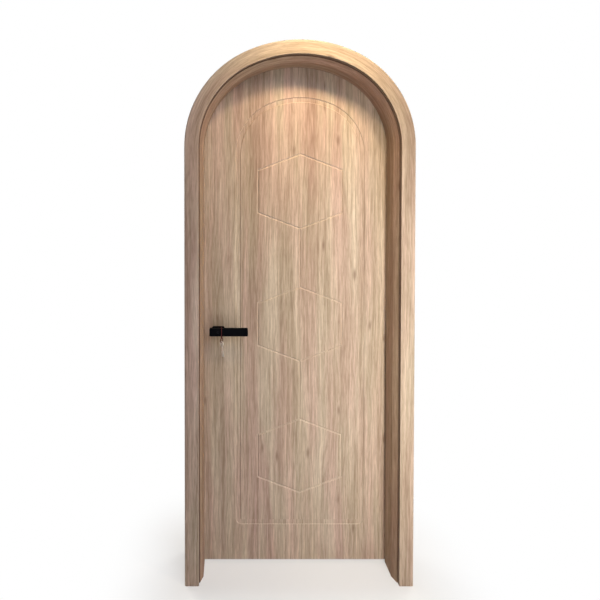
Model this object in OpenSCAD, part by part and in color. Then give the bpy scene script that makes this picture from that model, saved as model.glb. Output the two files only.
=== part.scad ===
// Arched interior door set: leaf, frame and casings, millimetres, +Z up, the front faces -Y.
// The lock side is at -X and the hinge side at +X. Depths count back from the front casing's face.

/* [Frame] */
// outer width over the casings
frame_w = 900; // [780:1:1050]
// outer height over the arch
frame_h = 2140; // [1950:1:2350]
// turn of the hairline glue joint between the arch's three segments
glue_turn = 0.008; // [0.006:0.001:0.02]
// rise of the outer arch as a share of half the width
arch_rise_share = 0.92; // [0.9:0.005:0.94]
// radius of the flat crown as a share of half the width
crown_radius_share = 1.14; // [1.1:0.005:1.2]
// wall that the jambs line
wall_t = 135; // [115:1:240]
// face width of the casings
casing_w = 56; // [50:0.5:64]
// thickness of the casings
casing_t = 15; // [12:0.5:20]
// casing width that laps the wall
casing_lap = 28; // [24:0.5:32]
// rounding of the casing's outer arris
casing_outer_r = 6; // [3:0.5:8]
// rounding of the casing's inner arris
casing_inner_r = 3; // [1:0.5:5]
// jamb edge that shows inside the front casing
ledge_w = 15; // [10:0.5:18]
// step between the stop and the rebate face
rebate_step = 10; // [8:0.5:14]
// width of the splay on the jamb's front arris
splay_w = 12; // [8:0.5:13]
// depth of the splay on the jamb's front arris
splay_d = 26; // [8:0.5:30]
// thickness of the casing tongue
tongue_t = 4.6; // [3.6:0.1:5.6]
// length of the casing tongue
tongue_l = 11; // [8:0.5:14]
// distance from the outer edge to the tongue slot
tongue_in = 40; // [38:0.5:42]
// play of the tongue in its slot, each way
tongue_play = 0.2; // [0.1:0.05:0.4]
// depth of the relief on the casing's wall side
relief_d = 2; // [1:0.25:3]
// width of the relief on the casing's wall side
relief_w = 14; // [10:0.5:16]
// solid rim outside the relief
relief_rim = 6; // [5:0.5:8]
// number of kerfs down the back of a jamb
kerf_n = 3; // [1:1:5]
// width of one kerf
kerf_w = 8; // [5:0.5:10]
// depth of one kerf
kerf_d = 3; // [2:0.5:4]
// radius of the wall fixing holes
fixing_r = 4; // [3:0.25:4.5]
// fixing holes behind the stop face
fixing_in = 8; // [7:0.5:9]
// middle of the fixing rows as a share of the leg
fixing_mid_share = 0.464; // [0.44:0.002:0.48]
// outer fixings from the middle as a share of the leg
fixing_outer_share = 0.394; // [0.37:0.002:0.41]
// inner fixings from the middle as a share of the leg
fixing_inner_share = 0.174; // [0.16:0.002:0.19]
// radius of the dowels in the head joints
dowel_r = 5; // [4:0.5:6]
// length of the dowels
dowel_l = 60; // [40:1:80]
// play round a dowel and at its ends
dowel_play = 0.3; // [0.1:0.05:0.4]

/* [Seal] */
// gap between the stop and the leaf
seal_gap = 3; // [2:0.25:4]
// width of the seal groove
seal_w = 3; // [2.5:0.25:4]
// depth of the seal groove
seal_d = 6; // [5:0.5:8]
// play of the seal foot in its groove
seal_play = 0.15; // [0.1:0.05:0.3]
// half width of the seal's lip
bulb_r = 2.2; // [1.8:0.1:2.4]
// distance that the lip stays off the leaf
bulb_clear = 0.3; // [0.2:0.05:0.5]

/* [Leaf] */
// thickness of the leaf
leaf_t = 40; // [36:0.5:45]
// gap between the leaf and the frame
leaf_gap = 3; // [2.5:0.25:4]
// gap under the leaf
floor_gap = 8; // [5:0.5:12]
// thickness of each skin
skin_t = 6; // [5:0.25:7]
// width of the stiles and the arched rail
stile_w = 62; // [55:1:70]
// height of the bottom rail
foot_rail_h = 110; // [90:1:140]
// width of the lock block
lock_block_w = 90; // [70:1:120]
// height of the lock block
lock_block_h = 300; // [240:5:360]
// radius of the core's tubes
tube_r = 10.5; // [8:0.5:11]
// number of the core's tubes
tube_n = 18; // [12:1:20]
// play round the core
core_play = 0.3; // [0.2:0.05:0.5]

/* [Pattern] */
// leaf edge to panel on the lock side
panel_margin_lock = 137; // [120:1:150]
// leaf edge to panel on the hinge side
panel_margin_hinge = 97; // [85:1:110]
// leaf top to panel
panel_margin_top = 128; // [110:1:145]
// leaf foot to panel
panel_margin_foot = 148; // [130:1:165]
// rise of the panel's arch as a share of half its width
panel_rise_share = 0.88; // [0.86:0.005:0.9]
// crown radius of the panel's arch as a share of half its width
panel_crown_share = 1.24; // [1.2:0.005:1.28]
// width of the panel's channel
channel_w = 22; // [18:0.5:24]
// depth of the panel's channel
channel_d = 2.8; // [1.5:0.1:3]
// width of one sloped side of the channel
channel_slope = 2.5; // [1.5:0.25:6]
// outer radius of the channel's lower corners
channel_corner_r = 26; // [25:0.5:34]
// number of hexagons
hex_n = 3; // [1:1:3]
// hexagon width as a share of the panel's width
hex_width_share = 0.65; // [0.6:0.005:0.7]
// hexagon height as a share of the panel's height
hex_height_share = 0.173; // [0.16:0.001:0.185]
// rise of a hexagon's point as a share of its height
hex_point_share = 0.215; // [0.19:0.005:0.24]
// hexagon pitch as a share of the panel's height
hex_pitch_share = 0.3095; // [0.3:0.0005:0.315]
// middle hexagon's centre as a share of the panel's height
hex_middle_share = 0.4725; // [0.46:0.0025:0.485]
// width of the V groove
groove_w = 10; // [7:0.5:12]
// depth of the V groove
groove_d = 3; // [2:0.1:3.5]
// run of a joining line into the hexagons
line_in = 0.6; // [0.4:0.1:1]

/* [Hinges] */
// height of a hinge
hinge_h = 100; // [90:1:120]
// heights of the three hinges as shares of the leg
hinge_shares = [0.14, 0.52, 0.9]; // [0.05:0.01:0.95]
// thickness of the hinge plates
plate_t = 2.4; // [2:0.1:2.5]
// plate reach from the back of the jamb
plate_w = 28; // [26:0.5:30]
// height of the inner plate
inner_plate_h = 64; // [58:1:68]
// strip of the outer plate that closes its window
plate_strip = 6; // [5:0.5:7]
// play round the inner plate
plate_play = 1; // [0.6:0.1:1.2]
// radius of the knuckles
knuckle_r = 5.5; // [5:0.1:5.6]
// knuckle axis behind the leaf
knuckle_out = 6.5; // [6.3:0.1:7]
// radius of the hinge pin
pin_r = 3; // [2.5:0.1:3.2]
// running clearance of the pin
pin_play = 0.05; // [0.03:0.01:0.08]
// radius of the pin's head
pin_head_r = 4.5; // [4:0.1:5]
// height of the pin's head
pin_head_h = 3; // [2:0.25:4]
// gap between knuckles
knuckle_gap = 0.4; // [0.3:0.05:0.6]

/* [Screws] */
// shank radius of the hinge and lock screws
screw_r = 1.8; // [1.5:0.1:2]
// head radius of the screws
screw_head_r = 3.6; // [3:0.1:4]
// head depth of the screws
screw_head_h = 1.8; // [1.4:0.1:2]
// length of the screws
screw_l = 14; // [12:0.5:15]
// play round a screw
screw_play = 0.1; // [0.05:0.01:0.15]
// width of the driver slot
slot_w = 0.8; // [0.6:0.05:1]
// depth of the driver slot
slot_d = 0.7; // [0.5:0.05:0.9]

/* [Lock] */
// spindle axis above the floor
spindle_z = 982; // [900:1:1060]
// spindle axis from the leaf's edge
backset = 65; // [60:0.5:70]
// thickness of the lock case
case_t = 15; // [14:0.25:16]
// sheet thickness of the lock case
case_wall = 1.5; // [1.2:0.1:2]
// case beyond the spindle axis
case_behind = 26; // [24:0.5:30]
// case above the spindle axis
case_up = 40; // [34:0.5:48]
// case below the spindle axis
case_down = 72; // [60:0.5:84]
// play round the lock case
case_play = 0.5; // [0.3:0.05:0.8]
// thickness of the faceplate
faceplate_t = 3; // [2.5:0.1:3.5]
// width of the faceplate
faceplate_w = 22; // [20:0.5:24]
// faceplate beyond the case, each end
faceplate_end = 24; // [20:0.5:28]
// play round the faceplate
faceplate_play = 0.2; // [0.1:0.05:0.3]
// projection of the latch
latch_out = 11; // [9:0.25:12]
// thickness of the latch head
latch_t = 12; // [10:0.25:12]
// height of the latch head
latch_h = 18; // [15:0.5:20]
// length of the latch head inside the case
latch_in = 10; // [8:0.25:11]
// play round the latch
latch_play = 0.3; // [0.25:0.05:0.4]
// thickness of the latch tail
tail_t = 4; // [3:0.25:5]
// radius of the follower
follower_r = 9; // [8.5:0.25:9.5]
// radius of the follower's journals
journal_r = 6.5; // [6.2:0.1:7]
// reach of the follower's arm
arm_reach = 18; // [17:0.25:19]
// width of the follower's arm
arm_w = 4; // [3:0.25:4]
// gap from the arm to the tail's hook
hook_gap = 0.7; // [0.6:0.05:0.9]
// running clearance of the round lock parts
run_play = 0.06; // [0.03:0.01:0.08]
// side of the square spindle
spindle_w = 8; // [7:0.5:9]
// play of the square spindle in its sockets
square_play = 0.1; // [0.05:0.01:0.15]
// radius of the tailpiece in the spindle
tailpiece_r = 2; // [1.6:0.1:2.4]
// radius of the latch spring
spring_r = 3.6; // [3:0.1:4]
// radius of the spring wire
spring_wire_r = 0.5; // [0.4:0.05:0.6]
// thickness of the spring's post in the case
post_t = 2; // [1.5:0.25:3]
// turns of the latch spring
spring_turns = 6; // [4:1:8]

/* [Strike] */
// thickness of the strike plate
strike_t = 2; // [1.5:0.1:2.5]
// width of the strike plate
strike_w = 24; // [22:0.5:26]
// height of the strike plate
strike_h = 90; // [80:1:110]
// height of the strike's lip
strike_lip_h = 28; // [24:0.5:34]
// play round the latch in the strike
strike_play = 1.2; // [0.8:0.1:1.6]
// sheet thickness of the dust box
dust_wall = 1.2; // [1:0.1:1.5]
// depth of the dust box
dust_d = 12; // [11:0.25:13]
// play round the strike and its box
strike_fit = 0.2; // [0.1:0.05:0.3]

/* [Handle] */
// length of the lever
lever_l = 157; // [135:1:165]
// lever behind the spindle axis
lever_tail = 35; // [28:0.5:38]
// height of the lever
lever_h = 32; // [26:0.5:34]
// thickness of the lever
lever_t = 12; // [10:0.25:14]
// corner radius of the lever
lever_corner_r = 5; // [3:0.25:8]
// lever face from the leaf
lever_out = 46; // [42:0.5:52]
// radius of the lever's neck
neck_r = 9.5; // [9:0.1:10]
// neck end from the leaf
neck_clear = 0.5; // [0.3:0.05:1]
// width of the rose
rose_w = 52; // [48:0.5:58]
// height of the rose
rose_h = 25; // [25:0.5:30]
// thickness of the rose
rose_t = 7; // [6:0.25:9]
// corner radius of the rose
rose_corner_r = 6; // [4:0.25:8]
// rose bolts from the spindle axis
rose_bolt_in = 19; // [18:0.25:20]
// radius of the rose bolts
rose_bolt_r = 2; // [1.6:0.1:2.2]
// wall left in front of the rose bolts
rose_bolt_wall = 2; // [1.5:0.25:3]
// radius of the spindle's hole in the leaf
spindle_hole_r = 7; // [6.6:0.1:7.5]
// radius of the key plug and the turn button
plug_r = 6; // [5:0.1:6.5]
// width of the key slot
key_slot_w = 2.4; // [2:0.1:2.8]
// height of the key slot
key_slot_h = 8; // [7.5:0.25:9]
// depth of the key slot
key_slot_d = 5; // [4:0.25:6]
// lever left behind the plug
plug_floor = 2; // [1.5:0.25:3]

/* [Keys] */
// radius of the key tie
tie_r = 1.4; // [0.8:0.05:1.6]
// gap between the lever's neck and the tie
tie_in = 3.5; // [0.5:0.25:6]
// play of the tie round the lever
tie_play = 0.4; // [0.3:0.05:0.8]
// radius of the tie's bends
tie_bend_r = 2; // [1.8:0.1:3]
// twisted length between the loop and the eye
tie_twist_l = 8; // [4:0.5:10]
// radius of the tie's eye
tie_eye_r = 8; // [7.5:0.25:9]
// radius of a key's bow
bow_r = 10; // [8:0.25:11]
// radius of the hole in a key's bow
bow_hole_r = 2.6; // [2.2:0.1:3.4]
// bow rim above its hole
bow_rim = 2.4; // [2:0.1:3]
// width of a key's blade
blade_w = 6.5; // [5.5:0.25:7]
// length of a key's blade
blade_l = 42; // [38:0.5:44]
// thickness of a key
key_t = 1.6; // [1.5:0.1:2.2]
// depth of the deepest cut
bit_d = 2.2; // [1.5:0.1:2.6]
// number of cuts
bit_n = 5; // [3:1:6]
// cut depths as shares of the deepest cut
bit_shares = [0.5, 1, 0.3, 0.8, 0.6, 0.4]; // [0.1:0.05:1]
// yaw of the tie's eye
eye_yaw = 50; // [30:1:70]
// lean of the first key in its own plane
key_lean_a = 12; // [3:1:15]
// lean of the second key in its own plane
key_lean_b = 3; // [3:1:15]

/* [Hidden] */
$fn = 96;
over = 1;
arc_n = 14;
coil_n = 14;
wire_n = 6;
half_w = frame_w / 2;
// Arch data: half span, rise, crown radius, spring height, centre X.
outer_arch = arch_of(half_w, arch_rise_share, crown_radius_share, frame_h, 0);
spring_z = outer_arch[3];
jamb_in = casing_w + ledge_w;
rebate_in = jamb_in - rebate_step;
leaf_in = rebate_in + leaf_gap;
jamb_y0 = casing_t;
jamb_y1 = casing_t + wall_t;
leaf_y1 = jamb_y1;
leaf_y0 = leaf_y1 - leaf_t;
leaf_mid = (leaf_y0 + leaf_y1) / 2;
stop_y = leaf_y0 - seal_gap;
frame_d = wall_t + 2 * casing_t;
total_d = leaf_y1 + lever_out;
core_y0 = leaf_y0 + skin_t;
core_y1 = leaf_y1 - skin_t;
core_t = core_y1 - core_y0;
leaf_x = half_w - leaf_in;
rebate_x = half_w - rebate_in;
stile_x = leaf_x - stile_w;
leaf_top = frame_h - leaf_in;
slot_t = tongue_t + 2 * tongue_play;
slot_l = tongue_l + over;
seal_mid = (rebate_in + jamb_in) / 2 + leaf_gap / 6;
fixing_y = stop_y + fixing_in;
fixing_mid = spring_z * fixing_mid_share;
fixing_outer = spring_z * fixing_outer_share;
fixing_inner = spring_z * fixing_inner_share;
dowel_in = (casing_lap + jamb_in) / 2;
dowel_ys = [jamb_y0 + wall_t / 4, jamb_y0 + wall_t / 2];
panel_half = leaf_x - (panel_margin_lock + panel_margin_hinge) / 2;
panel_x = (panel_margin_lock - panel_margin_hinge) / 2;
panel_z0 = floor_gap + panel_margin_foot;
panel_z1 = leaf_top - panel_margin_top;
panel_h = panel_z1 - panel_z0;
panel_arch = arch_of(panel_half, panel_rise_share, panel_crown_share, panel_z1, panel_x);
hex_half = panel_half * hex_width_share;
hex_half_h = panel_h * hex_height_share / 2;
hex_side = hex_half_h - 2 * hex_half_h * hex_point_share;
hex_pitch = panel_h * hex_pitch_share;
hex_mid = panel_z0 + panel_h * hex_middle_share;
hinge_x = (leaf_x + rebate_x) / 2;
hinge_y = leaf_y1 + knuckle_out;
hinge_zs = [for (s = hinge_shares) spring_z * s];
plate_y0 = leaf_y1 - plate_w;
inner_plate_y0 = plate_y0 + plate_strip + plate_play;
window_h = inner_plate_h + 2 * plate_play;
ear_h = (hinge_h - window_h) / 2;
plate_y1 = hinge_y - (knuckle_r + pin_r) / 2;
spindle_x = backset - leaf_x;
case_x0 = faceplate_t - leaf_x;
case_x1 = spindle_x + case_behind;
case_z0 = spindle_z - case_down;
case_z1 = spindle_z + case_up;
case_y0 = leaf_mid - case_t / 2;
faceplate_z0 = case_z0 - faceplate_end;
faceplate_z1 = case_z1 + faceplate_end;
faceplate_zs = [faceplate_z0 + faceplate_end / 2, faceplate_z1 - faceplate_end / 2];
tail_z0 = spindle_z + arm_reach + over;
hook_x = spindle_x + arm_w / 2 + hook_gap;
hook_z = spindle_z + follower_r + latch_play;
spring_x0 = latch_in - leaf_x + faceplate_t;
post_x1 = spindle_x - follower_r - over;
spring_x1 = post_x1 - post_t;
coil_z = spindle_z - rose_bolt_r - spring_r - 2 * spring_wire_r;
post_half = spring_r + 2 * spring_wire_r;
strike_x = strike_t + rebate_in - half_w;
strike_zs = [spindle_z - strike_h / 2 + screw_head_r + over, spindle_z + strike_h / 2 - screw_head_r - over];
dust_w = latch_t + 2 * strike_play + 2 * dust_wall;
dust_h = latch_h + 2 * strike_play + 2 * dust_wall;
lever_y1 = lever_out - lever_t;
plug_l = lever_t - plug_floor;
tie_x = spindle_x + neck_r + tie_in + tie_r;
tie_half_y = lever_t / 2 + tie_play + tie_r;
tie_half_z = lever_h / 2 + tie_play + tie_r;
tie_y = leaf_y0 - lever_out + lever_t / 2;
eye_z = spindle_z - tie_half_z - tie_twist_l - tie_eye_r;
bow_z = eye_z - tie_eye_r + tie_r + tie_play - bow_hole_r;
wood = [0.76, 0.62, 0.5];
wood_dark = [0.62, 0.5, 0.42];
core_tan = [0.8, 0.72, 0.58];
steel = [0.7, 0.7, 0.72];
black = [0.08, 0.08, 0.09];
brass = [0.72, 0.6, 0.34];
rubber = [0.3, 0.28, 0.27];
red = [0.6, 0.08, 0.08];

function arch_of(half, rise_share, crown_share, top, x) =
    [half, half * rise_share, half * crown_share, top - half * rise_share, x];
function haunch_r(a) =
    (a[2] * a[2] - a[0] * a[0] - (a[2] - a[1]) * (a[2] - a[1])) / (2 * (a[2] - a[0]));
function haunch_x(a) = a[0] - haunch_r(a);
function crown_z(a) = a[3] + a[1] - a[2];
function crown_half(a) = atan2(haunch_x(a), a[2] - a[1]);
function unit(v) = v / norm(v);
function side_normal(p, q) = unit([q[1] - p[1], p[0] - q[0]]);
function mitre(p, i, by) =
    let (n = len(p))
    let (before = side_normal(p[(i + n - 1) % n], p[i]))
    let (after = side_normal(p[i], p[(i + 1) % n]))
    p[i] + by * (before + after) / (1 + before * after);

// Puts depths that count from the front casing's face about the middle of the whole depth.
module place() {
    translate([0, -total_d / 2, 0]) children();
}

// Turns a profile of inset and depth about one arch centre.
module arch_sector(r, start, turn) {
    rotate([90, 0, 0]) rotate([0, 0, start]) rotate_extrude(angle = turn)
        translate([r, 0]) rotate(180) children();
}

// Runs a profile of inset and depth over the three glued segments of an arch.
module arch_run(a) {
    turn = crown_half(a);
    g = glue_turn;
    translate([a[4] + haunch_x(a), 0, a[3]]) arch_sector(haunch_r(a), 0, 90 - turn - g) children();
    translate([a[4], 0, crown_z(a)]) arch_sector(a[2], 90 - turn + g, 2 * turn - 2 * g) children();
    translate([a[4] - haunch_x(a), 0, a[3]])
        arch_sector(haunch_r(a), 90 + turn + g, 90 - turn - g) children();
}

// Runs a profile of inset and depth up one leg; side is 1 at the hinges and -1 at the lock.
module leg_run(side, z0, z1) {
    translate([side * half_w, 0, z0]) mirror([side > 0 ? 1 : 0, 0, 0]) linear_extrude(z1 - z0) children();
}

// A box between two corners.
module block(p, q) {
    translate(p) cube(q - p);
}

// The outline of a slab inset from the outer arch, from a foot height up.
function slab_path(inset, z0) =
    let (turn = crown_half(outer_arch), r = haunch_r(outer_arch) - inset, hx = haunch_x(outer_arch))
    concat(
        [[inset - half_w, z0], [half_w - inset, z0]],
        arc(hx, spring_z, r, 0, 90 - turn, false),
        arc(0, crown_z(outer_arch), outer_arch[2] - inset, 90 - turn, 90 + turn, false),
        arc(-hx, spring_z, r, 90 + turn, 180, true));

// A solid arched slab inset from the outer arch, from a foot height up.
module arch_slab(inset, y0, y1, z0) {
    translate([0, y1, 0]) rotate([90, 0, 0]) linear_extrude(y1 - y0) polygon(slab_path(inset, z0));
}

// The waste outside a rounded corner at the origin.
module corner_waste(r) {
    difference() {
        translate([-over, -over]) square(r + over);
        translate([r, r]) circle(r);
    }
}

// The waste of a splayed corner at the origin, with the material at -X and +Y.
module splay_waste(w, d) {
    polygon([[-w * (1 + over / d), -over], [over, -over], [over, d * (1 + over / w)]]);
}

// Casing section: inset across, depth up, face at zero.
module casing_profile() {
    difference() {
        square([casing_w, casing_t]);
        corner_waste(casing_outer_r);
        translate([casing_w, 0]) mirror([1, 0]) corner_waste(casing_inner_r);
        translate([relief_rim, casing_t - relief_d]) square([relief_w, relief_d + over]);
    }
    translate([tongue_in + tongue_play, casing_t - over]) square([tongue_t, tongue_l + over]);
}

// Jamb section: inset across, depth up, with the stop, slots, seal groove and kerfs.
module jamb_profile() {
    kerf_step = wall_t / (kerf_n + 1);
    difference() {
        translate([casing_lap, jamb_y0]) square([jamb_in - casing_lap, wall_t]);
        translate([rebate_in, stop_y]) square([rebate_step + over, leaf_y1 - stop_y + over]);
        translate([jamb_in, jamb_y0]) splay_waste(splay_w, splay_d);
        translate([tongue_in, jamb_y0 - over]) square([slot_t, slot_l + over]);
        translate([tongue_in, jamb_y1 - slot_l]) square([slot_t, slot_l + over]);
        translate([seal_mid - seal_w / 2, stop_y - seal_d]) square([seal_w, seal_d + over]);
        for (i = [1 : kerf_n]) {
            translate([casing_lap - over, jamb_y0 + i * kerf_step - kerf_w / 2])
                square([kerf_d + over, kerf_w]);
        }
    }
}

// Seal section: foot in the groove and a lip toward the leaf.
module seal_profile() {
    f = seal_w / 2 - seal_play;
    low = seal_play - seal_d;
    top = seal_gap - bulb_clear;
    r = bulb_r;
    translate([seal_mid, stop_y]) polygon([[-f, low], [f, low], [f, 0], [r, 0], [r, top / 2], [r / 2, top],
        [-r / 2, top], [-r, top / 2], [-r, 0], [-f, 0]]);
}

// Holes for the head dowels in both pieces that meet at the spring line.
module dowel_cuts(side) {
    for (y = dowel_ys) {
        translate([side * (half_w - dowel_in), y, spring_z])
            cylinder(h = dowel_l + 2 * dowel_play, r = dowel_r + dowel_play, center = true);
    }
}

// Wall fixing holes of one leg.
module fixing_cuts(side) {
    reach = jamb_in - casing_lap + 2 * over;
    for (dz = [-fixing_outer, -fixing_inner, fixing_inner, fixing_outer]) {
        translate([side * (half_w - casing_lap - jamb_in / 2 + casing_lap / 2), fixing_y, fixing_mid + dz])
            rotate([0, 90, 0]) cylinder(h = reach, r = fixing_r, center = true);
    }
}

// Countersunk screw: head face at the origin, shank along +Z.
module screw(length) {
    difference() {
        union() {
            cylinder(h = screw_head_h, r1 = screw_head_r, r2 = screw_r);
            translate([0, 0, screw_head_h]) cylinder(h = length - screw_head_h, r = screw_r);
        }
        translate([-screw_head_r, -slot_w / 2, -over]) cube([2 * screw_head_r, slot_w, slot_d + over]);
    }
}

// The hole that a countersunk screw sits in.
module screw_cut(length) {
    cone_r = screw_head_r + screw_play;
    translate([0, 0, -over]) cylinder(h = over, r = cone_r);
    cylinder(h = screw_head_h, r1 = cone_r, r2 = screw_r + screw_play);
    cylinder(h = length + screw_play, r = screw_r + screw_play);
}

// Places of the jamb-side screws of all hinges, pointing into the jamb.
module jamb_screw_places() {
    for (z = hinge_zs, e = [-1, 1], y = [plate_y0 + plate_strip, leaf_y1 - plate_strip]) {
        translate([rebate_x - plate_t, y, z + e * (hinge_h - ear_h) / 2]) rotate([0, 90, 0]) children();
    }
}

// Places of the leaf-side screws of all hinges, pointing into the stile.
module leaf_screw_places() {
    for (z = hinge_zs, e = [-1, 1], f = [0, 1]) {
        y = inner_plate_y0 + plate_strip + f * (leaf_y1 - inner_plate_y0 - 2 * plate_strip);
        translate([leaf_x + plate_t, y, z + e * (inner_plate_h / 4 + f * plate_strip)])
            rotate([0, -90, 0]) children();
    }
}

// Places of the faceplate screws, pointing into the stile.
module faceplate_screw_places() {
    for (z = faceplate_zs) {
        translate([-leaf_x, leaf_mid, z]) rotate([0, 90, 0]) children();
    }
}

// Places of the strike screws, pointing into the jamb.
module strike_screw_places() {
    for (z = strike_zs) {
        translate([-rebate_x, leaf_mid, z]) rotate([0, -90, 0]) children();
    }
}

module lock_jamb() {
    color(wood) place() difference() {
        leg_run(-1, 0, spring_z) jamb_profile();
        fixing_cuts(-1);
        dowel_cuts(-1);
        strike_cuts();
        strike_screw_places() screw_cut(screw_l);
    }
}

module hinge_jamb() {
    color(wood) place() difference() {
        leg_run(1, 0, spring_z) jamb_profile();
        fixing_cuts(1);
        dowel_cuts(1);
        jamb_screw_places() screw_cut(screw_l);
    }
}

module arch_jamb() {
    color(wood) place() difference() {
        arch_run(outer_arch) jamb_profile();
        dowel_cuts(-1);
        dowel_cuts(1);
    }
}

module front_casing_lock() {
    color(wood) place() leg_run(-1, 0, spring_z) casing_profile();
}

module front_casing_hinge() {
    color(wood) place() leg_run(1, 0, spring_z) casing_profile();
}

module front_casing_arch() {
    color(wood) place() arch_run(outer_arch) casing_profile();
}

// The casing section turned round for the back of the frame.
module back_profile() {
    translate([0, frame_d]) mirror([0, 1]) casing_profile();
}

module back_casing_lock() {
    color(wood) place() leg_run(-1, 0, spring_z) back_profile();
}

module back_casing_hinge() {
    color(wood) place() leg_run(1, 0, spring_z) back_profile();
}

module back_casing_arch() {
    color(wood) place() arch_run(outer_arch) back_profile();
}

module frame_seal() {
    color(rubber) place() {
        leg_run(-1, 0, spring_z - seal_play) seal_profile();
        leg_run(1, 0, spring_z - seal_play) seal_profile();
        arch_run(outer_arch) seal_profile();
    }
}

module head_dowels() {
    color(core_tan) place() for (side = [-1, 1], y = dowel_ys) {
        translate([side * (half_w - dowel_in), y, spring_z])
            cylinder(h = dowel_l, r = dowel_r, center = true);
    }
}

// Pockets in the lock jamb for the strike plate and its box.
module strike_cuts() {
    f = strike_fit;
    block([-rebate_x - strike_t, leaf_mid - strike_w / 2 - f, spindle_z - strike_h / 2 - f],
        [over - rebate_x, leaf_mid + strike_w / 2 + f, spindle_z + strike_h / 2 + f]);
    block([-rebate_x - strike_t, leaf_mid, spindle_z - strike_lip_h / 2 - f],
        [over - rebate_x, jamb_y1 + over, spindle_z + strike_lip_h / 2 + f]);
    block([-rebate_x - strike_t - dust_d - f, leaf_mid - dust_w / 2 - f, spindle_z - dust_h / 2 - f],
        [over - rebate_x, leaf_mid + dust_w / 2 + f, spindle_z + dust_h / 2 + f]);
}

module strike_plate() {
    x0 = -rebate_x - strike_t;
    hole_y = latch_t / 2 + strike_play;
    hole_z = latch_h / 2 + strike_play;
    color(steel) place() difference() {
        union() {
            block([x0, leaf_mid - strike_w / 2, spindle_z - strike_h / 2],
                [-rebate_x, leaf_mid + strike_w / 2, spindle_z + strike_h / 2]);
            block([x0, leaf_mid, spindle_z - strike_lip_h / 2],
                [-rebate_x, jamb_y1, spindle_z + strike_lip_h / 2]);
        }
        block([x0 - over, leaf_mid - hole_y, spindle_z - hole_z],
            [over - rebate_x, leaf_mid + hole_y, spindle_z + hole_z]);
        strike_screw_places() screw_cut(screw_l);
    }
}

module strike_box() {
    x1 = -rebate_x - strike_t;
    hole_y = latch_t / 2 + strike_play;
    hole_z = latch_h / 2 + strike_play;
    color(steel) place() difference() {
        block([x1 - dust_d, leaf_mid - dust_w / 2, spindle_z - dust_h / 2],
            [x1, leaf_mid + dust_w / 2, spindle_z + dust_h / 2]);
        block([x1 - dust_d + dust_wall, leaf_mid - hole_y, spindle_z - hole_z],
            [x1 + over, leaf_mid + hole_y, spindle_z + hole_z]);
    }
}

module strike_screws() {
    color(steel) place() strike_screw_places() screw(screw_l);
}

// One knuckle with its bore on the hinge axis.
module knuckle(z0, z1) {
    translate([hinge_x, hinge_y, z0]) cylinder(h = z1 - z0, r = knuckle_r);
}

// The jamb-side plate of a hinge: an outer frame round a window, with the end knuckles.
module jamb_plate(z) {
    x0 = rebate_x - plate_t;
    half = hinge_h / 2;
    color(steel) place() difference() {
        union() {
            block([x0, plate_y0, z - half], [rebate_x, plate_y0 + plate_strip, z + half]);
            block([x0, plate_y0, z - half], [rebate_x, plate_y1, z - half + ear_h]);
            block([x0, plate_y0, z + half - ear_h], [rebate_x, plate_y1, z + half]);
            knuckle(z - half, z - half + ear_h);
            knuckle(z + half - ear_h, z + half);
        }
        translate([hinge_x, hinge_y, z])
            cylinder(h = hinge_h + 2 * over, r = pin_r + pin_play, center = true);
        jamb_screw_places() screw_cut(screw_l);
    }
}

// The leaf-side plate of a hinge, which lies in the outer plate's window.
module leaf_plate(z) {
    half = inner_plate_h / 2;
    barrel = window_h / 2 - knuckle_gap;
    color(steel) place() difference() {
        union() {
            block([leaf_x, inner_plate_y0, z - half], [leaf_x + plate_t, plate_y1, z + half]);
            knuckle(z - barrel, z + barrel);
        }
        translate([hinge_x, hinge_y, z]) cylinder(h = hinge_h, r = pin_r + pin_play, center = true);
        leaf_screw_places() screw_cut(screw_l);
    }
}

// The pin of a hinge, with a head at each end.
module hinge_pin(z) {
    color(steel) place() translate([hinge_x, hinge_y, z]) {
        cylinder(h = hinge_h, r = pin_r, center = true);
        translate([0, 0, hinge_h / 2]) cylinder(h = pin_head_h, r1 = pin_head_r, r2 = pin_r);
        translate([0, 0, -hinge_h / 2 - pin_head_h]) cylinder(h = pin_head_h, r1 = pin_r, r2 = pin_head_r);
    }
}

module low_jamb_plate() {
    jamb_plate(hinge_zs[0]);
}

module mid_jamb_plate() {
    jamb_plate(hinge_zs[1]);
}

module top_jamb_plate() {
    jamb_plate(hinge_zs[2]);
}

module low_leaf_plate() {
    leaf_plate(hinge_zs[0]);
}

module mid_leaf_plate() {
    leaf_plate(hinge_zs[1]);
}

module top_leaf_plate() {
    leaf_plate(hinge_zs[2]);
}

module low_hinge_pin() {
    hinge_pin(hinge_zs[0]);
}

module mid_hinge_pin() {
    hinge_pin(hinge_zs[1]);
}

module top_hinge_pin() {
    hinge_pin(hinge_zs[2]);
}

module jamb_plate_screws() {
    color(steel) place() jamb_screw_places() screw(screw_l);
}

module leaf_plate_screws() {
    color(steel) place() leaf_screw_places() screw(screw_l);
}

// Points along an arc; the last one is left out unless it is asked for.
function arc(x, z, r, from, to, last) =
    [for (i = [0 : arc_n - (last ? 0 : 1)]) let (t = from + (to - from) * i / arc_n)
        [x + r * cos(t), z + r * sin(t)]];

// The arched panel's outer edge, anticlockwise seen from the front.
function panel_path(a, r, z0) =
    let (turn = crown_half(a))
    concat(
        arc(a[4] + a[0] - r, z0 + r, r, 270, 360, true),
        arc(a[4] + haunch_x(a), a[3], haunch_r(a), 0, 90 - turn, false),
        arc(a[4], crown_z(a), a[2], 90 - turn, 90 + turn, false),
        arc(a[4] - haunch_x(a), a[3], haunch_r(a), 90 + turn, 180, true),
        arc(a[4] - a[0] + r, z0 + r, r, 180, 270, true));

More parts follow.
